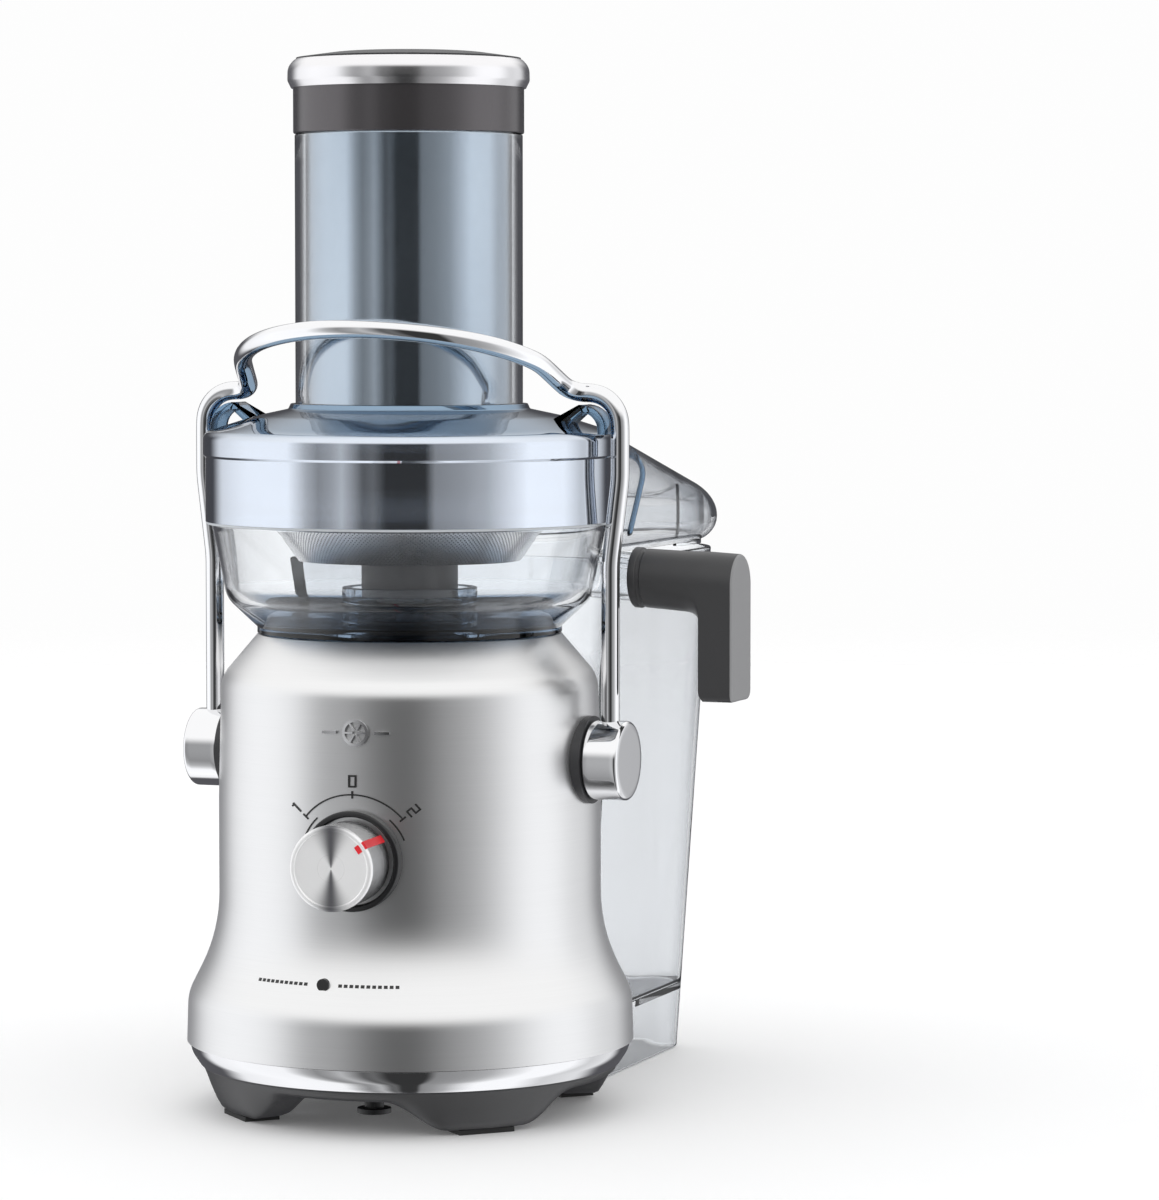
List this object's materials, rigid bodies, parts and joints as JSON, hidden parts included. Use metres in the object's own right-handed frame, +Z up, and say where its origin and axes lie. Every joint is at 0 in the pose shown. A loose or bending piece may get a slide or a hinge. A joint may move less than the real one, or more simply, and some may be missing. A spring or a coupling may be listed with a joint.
{
  "type": "centrifugal juicer",
  "caption": "Upright juicer with a steel motor base, clear bowl and feed chute, plunger, locking wire arm, rear pulp bin, side juice nozzle and front speed dial.",
  "frame": {"origin": "on the counter, under the middle of the whole juicer's box", "axes": "+Z up, along the spindle; -Y out of the front with the dial; +X towards the juice nozzle"},
  "size_m": [0.234, 0.3459, 0.439],
  "materials": {
    "brushed_steel": "brushed",
    "bright_trim": "polished",
    "arm_chrome": "polished",
    "spun_aluminium": "spun",
    "dark_plastic": "satin",
    "clear_plastic": "polished",
    "smoked_clear": "polished",
    "rubber": "matt",
    "silicone": "matt",
    "filter_steel": "etched",
    "machined_steel": "machined",
    "cast_aluminium": "cast",
    "copper": "satin",
    "carbon": "matt",
    "board_green": "satin",
    "component": "gloss",
    "white_nylon": "satin",
    "drive_plastic": "satin",
    "black_print": "satin",
    "red_pointer": "gloss"
  },
  "bodies": {
    "base": {"outer_shell": "brushed_steel", "trim_ring": "bright_trim", "base_foot": "dark_plastic", "rubber_feet": "rubber", "base_cover": "dark_plastic", "base_screws": "machined_steel", "cord_pegs": "dark_plastic", "cord_gland": "rubber", "top_deck": "dark_plastic", "shaft_seal": "silicone", "lower_bracket": "cast_aluminium", "upper_bracket": "cast_aluminium", "stator_core": "machined_steel", "field_coils": "copper", "lower_bearing": "machined_steel", "upper_bearing": "machined_steel", "brush_holders": "copper", "carbon_brushes": "carbon", "motor_bolts": "machined_steel", "motor_mounts": "rubber", "control_board": "board_green", "board_capacitor": "component", "rotary_switch": "dark_plastic", "dial_bezel": "dark_plastic", "dial_scale": "black_print", "overload_lamp": "black_print", "emblem": "bright_trim", "pivot_collars": "dark_plastic", "pivot_axles": "machined_steel", "interlock_switch": "component", "juice_bowl": "clear_plastic", "cover": "clear_plastic", "cover_seal": "silicone", "cover_hood": "clear_plastic", "cover_ears": "clear_plastic", "feed_chute": "clear_plastic"},
    "spindle": {"rotor_core": "machined_steel", "commutator": "copper", "rotor_shaft": "machined_steel", "cooling_fan": "white_nylon", "drive_coupling": "drive_plastic", "basket_hub": "drive_plastic", "filter_basket": "filter_steel", "basket_rim": "filter_steel", "grating_disc": "filter_steel", "disc_cap": "filter_steel"},
    "arm": {"locking_arm": "arm_chrome", "pivot_knobs": "arm_chrome"},
    "dial": {"dial_shaft": "machined_steel", "dial_knob": "spun_aluminium", "dial_pointer": "red_pointer"},
    "pusher": {"pusher_body": "smoked_clear", "pusher_collar": "dark_plastic", "pusher_cap": "bright_trim", "pusher_top": "dark_plastic"},
    "bin": {"pulp_bin": "clear_plastic"},
    "nozzle_assembly": {"nozzle": "dark_plastic", "nozzle_seal": "rubber"}
  },
  "joints": [
    {"name": "arm_swing", "type": "hinge", "parent": "base", "child": "arm", "pos_m": [-0.0205, -0.06396, 0.147], "axis": [1, 0, 0], "range_deg": [0, 110]},
    {"name": "dial_turn", "type": "hinge", "parent": "base", "child": "dial", "pos_m": [-0.01266, -0.15361, 0.111], "axis": [0.0872, -0.9962, 0], "range_deg": [0, 105]},
    {"name": "spindle_spin", "type": "hinge", "parent": "base", "child": "spindle", "pos_m": [-0.0205, -0.06396, 0.15], "axis": [0, 0, 1], "continuous": true},
    {"name": "pusher_lift", "type": "slide", "parent": "base", "child": "pusher", "axis": [0, 0, 1], "range_m": [0, 0.165]},
    {"name": "bin_slide", "type": "slide", "parent": "base", "child": "bin", "axis": [0, 1, 0], "range_m": [0, 0.16]},
    {"name": "nozzle_pull", "type": "slide", "parent": "base", "child": "nozzle_assembly", "axis": [0.9982, 0, -0.0593], "range_m": [0, 0.03]}
  ]
}
